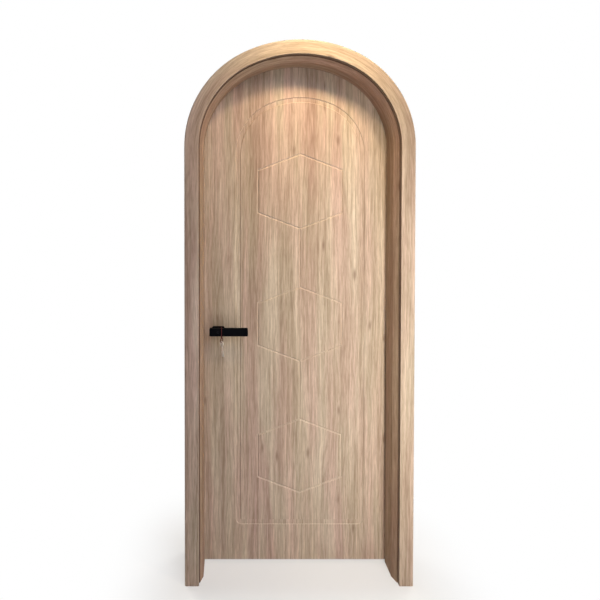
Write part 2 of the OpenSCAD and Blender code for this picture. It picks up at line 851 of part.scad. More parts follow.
// A closed groove along a flat outline; into is 1 toward +Y and -1 toward -Y.
// The section's points are inset and depth.
module ring_cut(p, section, into) {
    n = len(p);
    k = len(section);
    points = [for (s = section, i = [0 : n - 1]) let (q = mitre(p, i, -s[0])) [q[0], into * s[1], q[1]]];
    faces = [for (a = [0 : k - 1], i = [0 : n - 1]) let (b = (a + 1) % k, j = (i + 1) % n)
        into > 0 ? [a * n + i, a * n + j, b * n + j, b * n + i]
            : [b * n + i, b * n + j, a * n + j, a * n + i]];
    polyhedron(points, faces, convexity = 4);
}

// The arched panel channel in one face of the leaf.
module channel_cuts(y, into) {
    rise = channel_slope * over / channel_d;
    middle = (panel_z0 + panel_z1) / 2;
    local = [panel_arch[0], panel_arch[1], panel_arch[2], panel_arch[3] - middle, 0];
    translate([panel_x, y, middle]) ring_cut(panel_path(local, channel_corner_r, panel_z0 - middle),
        [[-rise, -over], [channel_slope, channel_d], [channel_w - channel_slope, channel_d],
            [channel_w + rise, -over]], into);
}

// A closed V groove along a flat outline.
module ring_groove(p, into) {
    wide = groove_w / 2 * (1 + over / groove_d);
    ring_cut(p, [[-wide, -over], [0, groove_d], [wide, -over]], into);
}

// A straight upright V groove.
module line_groove(x, z0, z1, y, into) {
    wide = groove_w / 2 * (1 + over / groove_d);
    translate([x, y, z0]) linear_extrude(z1 - z0)
        polygon([[-wide, -into * over], [wide, -into * over], [0, into * groove_d]]);
}

// The hexagons and the lines that join them in one face of the leaf.
module hex_cuts(y, into) {
    for (i = [0 : hex_n - 1]) {
        z = hex_mid + (i - (hex_n - 1) / 2) * hex_pitch;
        translate([panel_x, y, z]) ring_groove([[0, -hex_half_h], [hex_half, -hex_side], [hex_half, hex_side],
            [0, hex_half_h], [-hex_half, hex_side], [-hex_half, -hex_side]], into);
        if (i > 0) {
            line_groove(panel_x, z - hex_pitch + hex_half_h - line_in, z - hex_half_h + line_in, y, into);
        }
    }
}

// Everything that is cut through the whole thickness of the leaf at the handle.
module handle_cuts() {
    translate([spindle_x, leaf_mid, spindle_z]) rotate([90, 0, 0])
        cylinder(h = leaf_t + 2 * over, r = spindle_hole_r, center = true);
    for (side = [-1, 1]) {
        translate([spindle_x + side * rose_bolt_in, leaf_mid, spindle_z]) rotate([90, 0, 0])
            cylinder(h = leaf_t + 2 * over, r = rose_bolt_r + dowel_play, center = true);
    }
}

module front_skin() {
    color(wood) place() difference() {
        arch_slab(leaf_in, leaf_y0, core_y0, floor_gap);
        channel_cuts(leaf_y0, 1);
        hex_cuts(leaf_y0, 1);
        handle_cuts();
    }
}

module back_skin() {
    color(wood) place() difference() {
        arch_slab(leaf_in, core_y1, leaf_y1, floor_gap);
        channel_cuts(leaf_y1, -1);
        hex_cuts(leaf_y1, -1);
        handle_cuts();
        leaf_screw_places() screw_cut(screw_l);
    }
}

module hinge_stile() {
    color(wood) place() difference() {
        block([stile_x, core_y0, floor_gap], [leaf_x, core_y1, spring_z]);
        leaf_screw_places() screw_cut(screw_l);
    }
}

// The mortise for the lock case, its faceplate and screws.
module lock_cuts() {
    p = case_play;
    f = faceplate_play;
    block([case_x0 - over, case_y0 - p, case_z0 - p], [case_x1 + p, case_y0 + case_t + p, case_z1 + p]);
    block([-leaf_x - over, leaf_mid - faceplate_w / 2 - f, faceplate_z0 - f],
        [case_x0, leaf_mid + faceplate_w / 2 + f, faceplate_z1 + f]);
    faceplate_screw_places() screw_cut(screw_l);
    handle_cuts();
}

module lock_stile() {
    color(wood) place() difference() {
        block([-leaf_x, core_y0, floor_gap], [-stile_x, core_y1, spring_z]);
        lock_cuts();
    }
}

module lock_block() {
    half = lock_block_h / 2;
    color(core_tan) place() difference() {
        block([-stile_x, core_y0, spindle_z - half], [lock_block_w - stile_x, core_y1, spindle_z + half]);
        lock_cuts();
    }
}

module foot_rail() {
    color(wood) place() block([-stile_x, core_y0, floor_gap], [stile_x, core_y1, floor_gap + foot_rail_h]);
}

module arch_rail() {
    color(wood) place() arch_run(outer_arch) translate([leaf_in, core_y0]) square([stile_w, core_t]);
}

module leaf_core() {
    half = lock_block_h / 2 + core_play;
    step = 2 * stile_x / tube_n;
    color(core_tan) place() difference() {
        arch_slab(leaf_in + stile_w + core_play, core_y0, core_y1, floor_gap + foot_rail_h);
        block([-stile_x - over, core_y0 - over, spindle_z - half],
            [lock_block_w + core_play - stile_x, core_y1 + over, spindle_z + half]);
        for (i = [0 : tube_n - 1]) {
            translate([(i + 1 / 2) * step - stile_x, leaf_mid, 0]) cylinder(h = frame_h, r = tube_r);
        }
    }
}

// Bores for the follower's journals and the rose bolts through the case walls.
module case_bores() {
    translate([spindle_x, leaf_mid, spindle_z]) rotate([90, 0, 0])
        cylinder(h = case_t + 2 * over, r = journal_r + run_play, center = true);
    for (side = [-1, 1]) {
        translate([spindle_x + side * rose_bolt_in, leaf_mid, spindle_z]) rotate([90, 0, 0])
            cylinder(h = case_t + 2 * over, r = rose_bolt_r + dowel_play, center = true);
    }
}

module lock_case() {
    w = case_wall;
    y1 = case_y0 + case_t - w;
    color(steel) place() difference() {
        block([case_x0, case_y0, case_z0], [case_x1, y1, case_z1]);
        block([case_x0 + w, case_y0 + w, case_z0 + w], [case_x1 - w, y1 + over, case_z1 - w]);
        latch_window(case_x0 - over, case_x0 + w + over);
        case_bores();
    }
    color(steel) place()
        block([spring_x1, case_y0 + w - over / 2, coil_z - post_half], [post_x1, y1, coil_z + post_half]);
}

module lock_cover() {
    color(steel) place() difference() {
        block([case_x0, case_y0 + case_t - case_wall, case_z0], [case_x1, case_y0 + case_t, case_z1]);
        case_bores();
    }
}

// The way of the latch through a wall square to X.
module latch_window(x0, x1) {
    p = latch_play;
    block([x0, leaf_mid - latch_t / 2 - p, spindle_z - latch_h / 2 - p],
        [x1, leaf_mid + latch_t / 2 + p, spindle_z + latch_h / 2 + p]);
}

module lock_faceplate() {
    color(steel) place() difference() {
        block([-leaf_x, leaf_mid - faceplate_w / 2, faceplate_z0],
            [case_x0, leaf_mid + faceplate_w / 2, faceplate_z1]);
        latch_window(-leaf_x - over, case_x0 + over);
        faceplate_screw_places() screw_cut(screw_l);
    }
}

module faceplate_screws() {
    color(steel) place() faceplate_screw_places() screw(screw_l);
}

// Latch: a bevelled head, a riser and a tail whose hook the follower's arm pulls.
module latch_bolt() {
    tip = -leaf_x - latch_out;
    back = spring_x0;
    half_t = latch_t / 2;
    half_h = latch_h / 2;
    color(brass) place() {
        difference() {
            block([tip, leaf_mid - half_t, spindle_z - half_h],
                [back, leaf_mid + half_t, spindle_z + half_h]);
            translate([tip, leaf_mid - half_t, spindle_z - half_h - over]) linear_extrude(latch_h + 2 * over)
                polygon([[-over, -over], [latch_out - over, -over], [-over, latch_t - over]]);
        }
        block([back - tail_t, leaf_mid - tail_t / 2, spindle_z],
            [back, leaf_mid + tail_t / 2, tail_z0 + tail_t]);
        block([back - tail_t, leaf_mid - tail_t / 2, tail_z0],
            [hook_x + tail_t, leaf_mid + tail_t / 2, tail_z0 + tail_t]);
        block([hook_x, leaf_mid - tail_t / 2, hook_z],
            [hook_x + tail_t, leaf_mid + tail_t / 2, tail_z0 + tail_t]);
    }
}

// A coil along +Z as a closed tube of flat faces.
module coil(r, wire, length, turns) {
    n = coil_n * turns;
    points = [for (i = [0 : n], j = [0 : wire_n - 1]) let (t = 360 * i / coil_n, w = 360 * j / wire_n)
        [(r + wire * cos(w)) * cos(t), (r + wire * cos(w)) * sin(t), length * i / n + wire * sin(w)]];
    sides = [for (i = [0 : n - 1], j = [0 : wire_n - 1]) let (k = (j + 1) % wire_n)
        [i * wire_n + j, i * wire_n + k, (i + 1) * wire_n + k, (i + 1) * wire_n + j]];
    ends = [[for (j = [wire_n - 1 : -1 : 0]) j], [for (j = [0 : wire_n - 1]) n * wire_n + j]];
    polyhedron(points, concat(sides, ends), convexity = 8);
}

module latch_spring() {
    length = spring_x1 - spring_x0 - 2 * spring_wire_r;
    color(steel) place() translate([spring_x0 + spring_wire_r, leaf_mid, coil_z])
        rotate([0, 90, 0]) coil(spring_r, spring_wire_r, length, spring_turns);
}

// Follower: a hub on two journals, with the arm that draws the latch.
module follower() {
    inner_t = case_t - 2 * case_wall - 2 * latch_play;
    color(steel) place() translate([spindle_x, leaf_mid, spindle_z]) rotate([90, 0, 0]) difference() {
        union() {
            cylinder(h = inner_t, r = follower_r, center = true);
            cylinder(h = case_t, r = journal_r, center = true);
            translate([-arm_w / 2, 0, -inner_t / 2]) cube([arm_w, arm_reach, inner_t]);
        }
        cube([spindle_w + 2 * square_play, spindle_w + 2 * square_play, case_t + 2 * over], center = true);
    }
}

module spindle() {
    length = leaf_t + 2 * (lever_y1 - plug_floor);
    color(steel) place() translate([spindle_x, leaf_mid, spindle_z]) rotate([90, 0, 0]) difference() {
        cube([spindle_w, spindle_w, length], center = true);
        cylinder(h = length + 2 * over, r = tailpiece_r + run_play, center = true);
    }
}

// A rounded rectangle between two corners.
module round_rect(p, q, r) {
    translate([p[0] + r, p[1]]) square([q[0] - p[0] - 2 * r, q[1] - p[1]]);
    translate([p[0], p[1] + r]) square([q[0] - p[0], q[1] - p[1] - 2 * r]);
    for (x = [p[0] + r, q[0] - r], z = [p[1] + r, q[1] - r]) {
        translate([x, z]) circle(r);
    }
}

// A lever in its own place: spindle axis at the origin, leaf face at zero, outward along +Z.
module lever_shape() {
    socket_w = spindle_w + 2 * square_play;
    socket_l = lever_y1 - plug_floor + 2 * square_play;
    difference() {
        union() {
            translate([0, 0, lever_y1]) linear_extrude(lever_t)
                round_rect([-lever_tail, -lever_h / 2], [lever_l - lever_tail, lever_h / 2], lever_corner_r);
            translate([0, 0, neck_clear]) cylinder(h = lever_y1 - neck_clear + over, r = neck_r);
        }
        translate([0, 0, lever_out - plug_l]) cylinder(h = plug_l + over, r = plug_r + run_play);
        cylinder(h = lever_out, r = tailpiece_r + run_play);
        translate([0, 0, lever_y1 / 2 - plug_floor / 2])
            cube([socket_w, socket_w, socket_l], center = true);
    }
}

// Puts an outward shape on the front of the leaf at the spindle.
module on_front() {
    translate([spindle_x, leaf_y0, spindle_z]) rotate([90, 0, 0]) children();
}

// Puts the mirror image of an outward shape on the back of the leaf at the spindle.
module on_back() {
    translate([0, 2 * leaf_mid, 0]) mirror([0, 1, 0]) on_front() children();
}

module front_lever() {
    color(black) place() on_front() lever_shape();
}

module back_lever() {
    color(black) place() on_back() lever_shape();
}

// A rose in its own place, with the neck's bearing.
module rose_shape() {
    difference() {
        linear_extrude(rose_t)
            round_rect([-rose_w / 2, -rose_h / 2], [rose_w / 2, rose_h / 2], rose_corner_r);
        translate([0, 0, -over]) cylinder(h = rose_t + 2 * over, r = neck_r + run_play);
        children();
    }
}

module front_rose() {
    color(black) place() on_front() rose_shape() {
        for (side = [-1, 1]) {
            translate([side * rose_bolt_in, 0, -over])
                cylinder(h = rose_t - rose_bolt_wall + over, r = rose_bolt_r + screw_play);
        }
    }
}

module back_rose() {
    color(black) place() on_back() rose_shape() {
        for (side = [-1, 1]) {
            translate([side * rose_bolt_in, 0, rose_t]) mirror([0, 0, 1]) bolt_cut();
        }
    }
}

// A rose bolt: head face at the origin, shank along +Z.
module bolt(length) {
    cylinder(h = screw_head_h, r1 = screw_head_r, r2 = rose_bolt_r);
    translate([0, 0, screw_head_h]) cylinder(h = length - screw_head_h, r = rose_bolt_r);
}

// The countersunk hole for a rose bolt.
module bolt_cut() {
    cone_r = screw_head_r + screw_play;
    translate([0, 0, -over]) cylinder(h = over, r = cone_r);
    cylinder(h = screw_head_h, r1 = cone_r, r2 = rose_bolt_r + screw_play);
    cylinder(h = rose_t + over, r = rose_bolt_r + screw_play);
}

module rose_bolts() {
    length = leaf_t + 2 * rose_t - rose_bolt_wall - screw_play;
    color(steel) place() on_back() for (side = [-1, 1]) {
        translate([side * rose_bolt_in, 0, rose_t]) mirror([0, 0, 1]) bolt(length);
    }
}

// A plug in its own place, with a slot in its face.
module plug_shape(slot) {
    translate([0, 0, lever_out - plug_l + run_play]) difference() {
        cylinder(h = plug_l - run_play, r = plug_r);
        translate([-slot / 2, -key_slot_h / 2, plug_l - key_slot_d])
            cube([slot, key_slot_h, key_slot_d + over]);
    }
}

module key_plug() {
    color(steel) place() on_front() plug_shape(key_slot_w);
}

module turn_button() {
    color(black) place() on_back() plug_shape(slot_w);
}

module tailpiece() {
    length = leaf_t + 2 * (lever_out - plug_l);
    color(brass) place() translate([spindle_x, leaf_mid, spindle_z]) rotate([90, 0, 0])
        cylinder(h = length, r = tailpiece_r, center = true);
}

// One side of the tie's loop round the lever: a straight and the bend after it.
module tie_side(reach_a, reach_b) {
    r = tie_bend_r;
    translate([reach_a, 0, 0]) rotate([90, 0, 0])
        cylinder(h = 2 * (reach_b - r), r = tie_r, center = true);
    translate([reach_a - r, reach_b - r, 0]) rotate_extrude(angle = 90) translate([r, 0]) circle(tie_r);
}

// The red tie: a loop round the lever, a twisted neck and an eye for the keys.
module key_tie() {
    color(red) place() {
        translate([tie_x, tie_y, spindle_z]) rotate([0, 90, 0]) {
            tie_side(tie_half_z, tie_half_y);
            rotate(180) tie_side(tie_half_z, tie_half_y);
            rotate(90) tie_side(tie_half_y, tie_half_z);
            rotate(270) tie_side(tie_half_y, tie_half_z);
        }
        translate([tie_x, tie_y, spindle_z - tie_half_z - tie_twist_l])
            cylinder(h = tie_twist_l, r = 2 * tie_r);
        translate([tie_x, tie_y, eye_z]) rotate([0, 0, eye_yaw]) rotate([90, 0, 0])
            rotate_extrude() translate([tie_eye_r, 0]) circle(tie_r);
    }
}

// A key hanging down: the middle of its hole at the origin, its faces square to X.
module key_shape() {
    drop = bow_r - bow_rim - bow_hole_r;
    step = blade_l / (bit_n + 2);
    rotate([90, 0, 90]) translate([0, 0, -key_t / 2]) linear_extrude(key_t) difference() {
        union() {
            translate([0, -drop]) circle(bow_r);
            translate([-blade_w / 2, -drop - bow_r - blade_l]) square([blade_w, blade_l + bow_r]);
        }
        circle(bow_hole_r);
        for (i = [0 : bit_n - 1]) {
            deep = bit_d * bit_shares[i];
            translate([blade_w / 2, -drop - bow_r - blade_l + (i + 1) * step])
                polygon([[over, -step / 2], [over, step / 2], [-deep, step / 6], [-deep, -step / 6]]);
        }
    }
}

// Hangs a key on the tie's eye, on one side of the other key and leaning in its own plane.
module hang_key(side, lean) {
    translate([tie_x, tie_y, bow_z]) rotate([0, 0, eye_yaw])
        translate([side * (key_t + tie_play) / 2, 0, 0]) rotate([-lean, 0, 0]) children();
}

module key_a() {
    color(steel) place() hang_key(-1, key_lean_a) key_shape();
}

module key_b() {
    color(steel) place() hang_key(1, key_lean_b) key_shape();
}

lock_jamb();
hinge_jamb();
arch_jamb();
front_casing_lock();
front_casing_hinge();
front_casing_arch();
back_casing_lock();
back_casing_hinge();
back_casing_arch();
frame_seal();
head_dowels();
strike_plate();
strike_box();
strike_screws();
low_jamb_plate();
mid_jamb_plate();
top_jamb_plate();
low_hinge_pin();
mid_hinge_pin();
top_hinge_pin();
jamb_plate_screws();
front_skin();
back_skin();
hinge_stile();
lock_stile();
lock_block();
foot_rail();
arch_rail();
leaf_core();
low_leaf_plate();
mid_leaf_plate();
top_leaf_plate();
leaf_plate_screws();
lock_case();
lock_cover();
lock_faceplate();
faceplate_screws();
front_rose();
back_rose();
rose_bolts();
front_lever();
back_lever();
spindle();
follower();
key_tie();
key_a();
key_b();
latch_bolt();
latch_spring();
key_plug();
tailpiece();
turn_button();
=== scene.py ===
"""Looks of an arched door set: wood-grain film, black lever, steel hardware, red tie and keys."""

import math

import bpy
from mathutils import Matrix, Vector


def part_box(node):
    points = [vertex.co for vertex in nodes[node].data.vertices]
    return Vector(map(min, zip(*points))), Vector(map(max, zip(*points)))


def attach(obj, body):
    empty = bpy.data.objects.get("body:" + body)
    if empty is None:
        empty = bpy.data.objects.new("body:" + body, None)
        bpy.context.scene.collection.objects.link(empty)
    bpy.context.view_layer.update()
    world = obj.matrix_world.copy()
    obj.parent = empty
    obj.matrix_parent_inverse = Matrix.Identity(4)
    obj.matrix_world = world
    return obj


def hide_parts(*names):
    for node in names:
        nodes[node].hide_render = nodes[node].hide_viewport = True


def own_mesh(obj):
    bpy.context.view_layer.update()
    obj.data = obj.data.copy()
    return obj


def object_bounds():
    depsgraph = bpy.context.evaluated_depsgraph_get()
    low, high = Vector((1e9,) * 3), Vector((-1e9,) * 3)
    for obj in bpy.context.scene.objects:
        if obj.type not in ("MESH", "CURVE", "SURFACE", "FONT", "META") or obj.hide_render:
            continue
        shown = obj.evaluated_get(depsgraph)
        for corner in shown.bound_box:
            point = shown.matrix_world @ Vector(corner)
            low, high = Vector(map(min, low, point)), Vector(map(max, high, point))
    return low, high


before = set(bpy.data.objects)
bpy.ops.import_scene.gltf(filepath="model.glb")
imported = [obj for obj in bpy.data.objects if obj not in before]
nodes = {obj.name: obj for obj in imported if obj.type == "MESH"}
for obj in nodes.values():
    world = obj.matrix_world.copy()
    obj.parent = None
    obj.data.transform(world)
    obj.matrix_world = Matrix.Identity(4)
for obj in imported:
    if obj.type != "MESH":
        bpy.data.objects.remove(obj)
cad_low, cad_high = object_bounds()
scene = bpy.context.scene

WHITE = (1.0, 1.0, 1.0, 1.0)

# The outer arch, as the part's source derives it from the width and the height.
ARCH_RISE_SHARE = 0.92
CROWN_RADIUS_SHARE = 1.14
half_width = cad_high.x
arch_rise = half_width * ARCH_RISE_SHARE
crown_radius = half_width * CROWN_RADIUS_SHARE
spring_z = cad_high.z - arch_rise
crown_z = cad_high.z - crown_radius
fall = crown_radius - arch_rise
haunch_radius = (crown_radius**2 - half_width**2 - fall**2) / (2 * (crown_radius - half_width))
haunch_x = half_width - haunch_radius
crown_turn = math.atan2(haunch_x, fall)
crown_run = crown_radius * crown_turn
arch_run = crown_run + haunch_radius * (math.pi / 2 - crown_turn)

# Sockets of Blender's mix node, which has a set for each kind of data: factor, first and second value.
MIX_NUMBERS = (0, 2, 3)
MIX_COLOURS = (0, 6, 7)
MIX_NUMBER_OUT = 0
MIX_COLOUR_OUT = 2


def rgb(code):
    """A written sRGB colour as linear values with full alpha, by the sRGB standard's curve."""
    parts = [int(code[i : i + 2], 16) / 255 for i in (0, 2, 4)]
    return [c / 12.92 if c <= 0.04045 else ((c + 0.055) / 1.055) ** 2.4 for c in parts] + [1.0]


class Look:
    """One material and short calls for its nodes."""

    def __init__(self, name):
        self.material = bpy.data.materials.new(name)
        self.material.use_nodes = True
        self.tree = self.material.node_tree
        self.tree.nodes.clear()
        self.shader = self.add("ShaderNodeBsdfPrincipled")
        self.output = self.add("ShaderNodeOutputMaterial")
        self.put(self.output.inputs["Surface"], self.shader.outputs["BSDF"])

    def add(self, kind, **settings):
        """Adds a node with its settings."""
        node = self.tree.nodes.new(kind)
        for key, value in settings.items():
            setattr(node, key, value)
        return node

    def put(self, socket, value):
        """Links a socket to another node's output, or sets its own value."""
        if isinstance(value, bpy.types.NodeSocket):
            self.tree.links.new(value, socket)
        else:
            socket.default_value = value

    def set(self, **values):
        """Sets the shader's sockets by name, with underscores for blanks."""
        for key, value in values.items():
            self.put(self.shader.inputs[key.replace("_", " ")], value)

    def place(self):
        """The piece's own coordinates, in metres."""
        return self.add("ShaderNodeTexCoord").outputs["Object"]

    def facing(self):
        """The piece's own surface direction."""
        return self.add("ShaderNodeTexCoord").outputs["Normal"]

    def calc(self, operation, a, b=0.0, c=0.0):
        """One step of arithmetic."""
        node = self.add("ShaderNodeMath", operation=operation)
        for socket, value in zip(node.inputs, (a, b, c)):
            self.put(socket, value)
        return node.outputs[0]

    def plus(self, a, b):
        return self.calc("ADD", a, b)

    def minus(self, a, b):
        return self.calc("SUBTRACT", a, b)

    def times(self, a, b):
        return self.calc("MULTIPLY", a, b)

    def length(self, a, b):
        """The length of a vector with two parts."""
        return self.calc("SQRT", self.plus(self.times(a, a), self.times(b, b)))

    def split(self, vector):
        """The three parts of a vector or a colour."""
        node = self.add("ShaderNodeSeparateXYZ")
        self.put(node.inputs[0], vector)
        return node.outputs

    def join(self, x, y, z):
        """A vector from three parts."""
        node = self.add("ShaderNodeCombineXYZ")
        for socket, value in zip(node.inputs, (x, y, z)):
            self.put(socket, value)
        return node.outputs[0]

    def stretch(self, vector, scale, shift=(0.0, 0.0, 0.0)):
        """Scales and shifts coordinates."""
        node = self.add("ShaderNodeMapping")
        self.put(node.inputs["Vector"], vector)
        node.inputs["Scale"].default_value = scale
        node.inputs["Location"].default_value = shift
        return node.outputs[0]

    def noise(self, vector, scale=1.0, detail=2.0, roughness=0.5):
        """Soft noise from 0 to 1."""
        node = self.add("ShaderNodeTexNoise")
        self.put(node.inputs["Vector"], vector)
        node.inputs["Scale"].default_value = scale
        node.inputs["Detail"].default_value = detail
        node.inputs["Roughness"].default_value = roughness
        return node.outputs["Fac"]

    def cells(self, vector, scale=1.0, dimensions="2D"):
        """Scattered points: the distance to the nearest one, and its drawn colour."""
        node = self.add("ShaderNodeTexVoronoi", voronoi_dimensions=dimensions)
        self.put(node.inputs["Vector"], vector)
        node.inputs["Scale"].default_value = scale
        return node.outputs["Distance"], node.outputs["Color"]

    def span(self, value, over, to=(0.0, 1.0)):
        """Maps one range to another, smoothly and clamped."""
        node = self.add("ShaderNodeMapRange", interpolation_type="SMOOTHSTEP")
        for socket, number in zip(node.inputs, (value, *over, *to)):
            self.put(socket, number)
        return node.outputs[0]

    def blend(self, factor, a, b, mode="MIX"):
        """Mixes two colours."""
        node = self.add("ShaderNodeMix", data_type="RGBA", blend_type=mode)
        for index, value in zip(MIX_COLOURS, (factor, a, b)):
            self.put(node.inputs[index], value)
        return node.outputs[MIX_COLOUR_OUT]

    def pick(self, factor, a, b):
        """Mixes two numbers."""
        node = self.add("ShaderNodeMix", data_type="FLOAT")
        for index, value in zip(MIX_NUMBERS, (factor, a, b)):
            self.put(node.inputs[index], value)
        return node.outputs[MIX_NUMBER_OUT]

    def bump(self, height, depth, strength=0.5):
        """Gives the surface a fine relief, with its depth in metres."""
        node = self.add("ShaderNodeBump")
        node.inputs["Strength"].default_value = strength
        node.inputs["Distance"].default_value = depth
        self.put(node.inputs["Height"], height)
        self.put(self.shader.inputs["Normal"], node.outputs[0])


def upright(look):
    """Across, depth and along for a piece whose grain runs up."""
    return look.place()


def level(look):
    """Across, depth and along for a piece whose grain runs from side to side."""
    x, y, z = look.split(look.place())
    return look.join(z, y, x)


def round_the_frame(look):
    """Across, depth and along for a piece whose grain climbs the legs and follows the arch's three arcs."""
    x, y, z = look.split(look.place())
    aside = look.calc("ABSOLUTE", x)
    out = look.minus(aside, haunch_x)
    up = look.minus(z, spring_z)
    high = look.minus(z, crown_z)
    turn = look.calc("ARCTAN2", aside, high)
    on_crown = look.calc("LESS_THAN", turn, crown_turn)
    on_leg = look.calc("LESS_THAN", z, spring_z)
    from_haunch = look.minus(haunch_radius, look.length(out, up))
    from_crown = look.minus(crown_radius, look.length(aside, high))
    across = look.pick(on_crown, from_haunch, from_crown)
    across = look.pick(on_leg, across, look.minus(half_width, aside))
    past_crown = look.minus(look.calc("ARCTAN2", out, up), crown_turn)
    along = look.calc("MULTIPLY_ADD", past_crown, haunch_radius, crown_run)
    along = look.pick(on_crown, along, look.times(turn, crown_radius))
    along = look.pick(on_leg, along, look.minus(arch_run, up))
    return look.join(across, y, look.times(along, look.calc("SIGN", x)))


# The film's colours, with the cream of the painted highlight and the brown of the painted gap shade.
FILM_CREAM = "C6B7A5"
FILM_PINK = "C3A89C"
FILM_TAN = "C5B19B"
FIGURE_BROWN = "8E7060"
PORE_BROWN = "8A6E5E"
KNOT_BROWN = "7D6050"
PAINTED_HIGHLIGHT_CREAM = "F3E4D2"
PAINTED_GAP_SHADE_BROWN = "3C1E0C"

# Layers of grain as noise: cells per metre across and along, detail, roughness, share of the seed as shift.
GRAIN_LAYERS = {
    "drift": (4.0, 0.6, 1.0, 0.5, 1.3),
    "hues": (17.0, 1.5, 2.0, 0.5, 1.9),
    "zones": (10.0, 0.8, 1.0, 0.5, 2.3),
    "bands": (28.0, 1.0, 2.0, 0.6, 3.1),
    "streaks": (90.0, 2.2, 3.0, 0.7, 0.7),
    "hairs": (360.0, 16.0, 2.0, 0.6, 1.1),
    "pores": (900.0, 40.0, 1.0, 0.5, 1.0),
}
# How far a layer lightens and darkens the film, and the weights of red, green and blue in that.
GRAIN_CONTRAST = {"zones": 0.09, "bands": 0.12, "streaks": 0.19, "hairs": 0.18}
CONTRAST_WEIGHTS = (0.94, 1.06, 1.2)

# The grain wanders from side to side by a share of this reach, in metres.
WANDER_CELLS = (3.0, 3.0, 1.3)
WANDER_REACH = 0.04
NOISE_MIDDLE = 0.5

# The cathedral figure is drawn as height lines of a hilly noise.
HILL_CELLS = (7.0, 7.0, 0.9)
HILL_SHIFT_ACROSS = 1.7
HILL_SHIFT_ALONG = 2.3
RINGS_PER_HILL = 22.0
HALF_RING = 0.5

# Knots lie in the few cells whose draw is above the threshold.
KNOT_CELLS = (16.0, 4.6, 1.0)
KNOT_THRESHOLD = 0.85
KNOT_RAGGEDNESS = 0.3

# Strengths of the darker and paler marks, among them the painted highlight on edges and the painted shade in
# the gap beside the casing.
DRIFT_STRENGTH = 0.5
FIGURE_STRENGTH = 0.2
PORE_STRENGTH = 0.35
KNOT_STRENGTH = 0.6
PAINTED_HIGHLIGHT_STRENGTH = 0.17
PAINTED_GAP_SHADE_STRENGTH = 0.66

# Painted shade for the shadow gap beside the casing, in metres.
PAINTED_GAP_SHADE_WIDTH = 0.0034
PAINTED_GAP_SHADE_LAP = 0.0006
PAINTED_GAP_SHADE_SOFTNESS = 0.0004

PORE_RELIEF_SHARE = 0.6
FILM_RELIEF = 0.00012
FILM_SPECULAR = 0.25


def painted_edge_highlight(look):
    """Painted highlight: where the film is made paler, on slopes and rounded edges, between a piece's face
    and its sides.
    """
    flat = look.calc("ABSOLUTE", look.split(look.facing())[1])
    off_face = look.span(flat, over=(0.9, 0.99), to=(1.0, 0.0))
    off_side = look.span(flat, over=(0.4, 0.7))
    return look.times(off_face, off_side)


def painted_gap_shade(look, across, gap_shade_reach):
    """Painted shade: where the surface lies between the two edges of the shadow gap beside the casing."""
    start, end = gap_shade_reach
    past_start = look.span(across, over=(start - PAINTED_GAP_SHADE_SOFTNESS, start + PAINTED_GAP_SHADE_SOFTNESS))
    before_end = look.span(across, over=(end - PAINTED_GAP_SHADE_SOFTNESS, end + PAINTED_GAP_SHADE_SOFTNESS), to=(1.0, 0.0))
    return look.times(past_start, before_end)


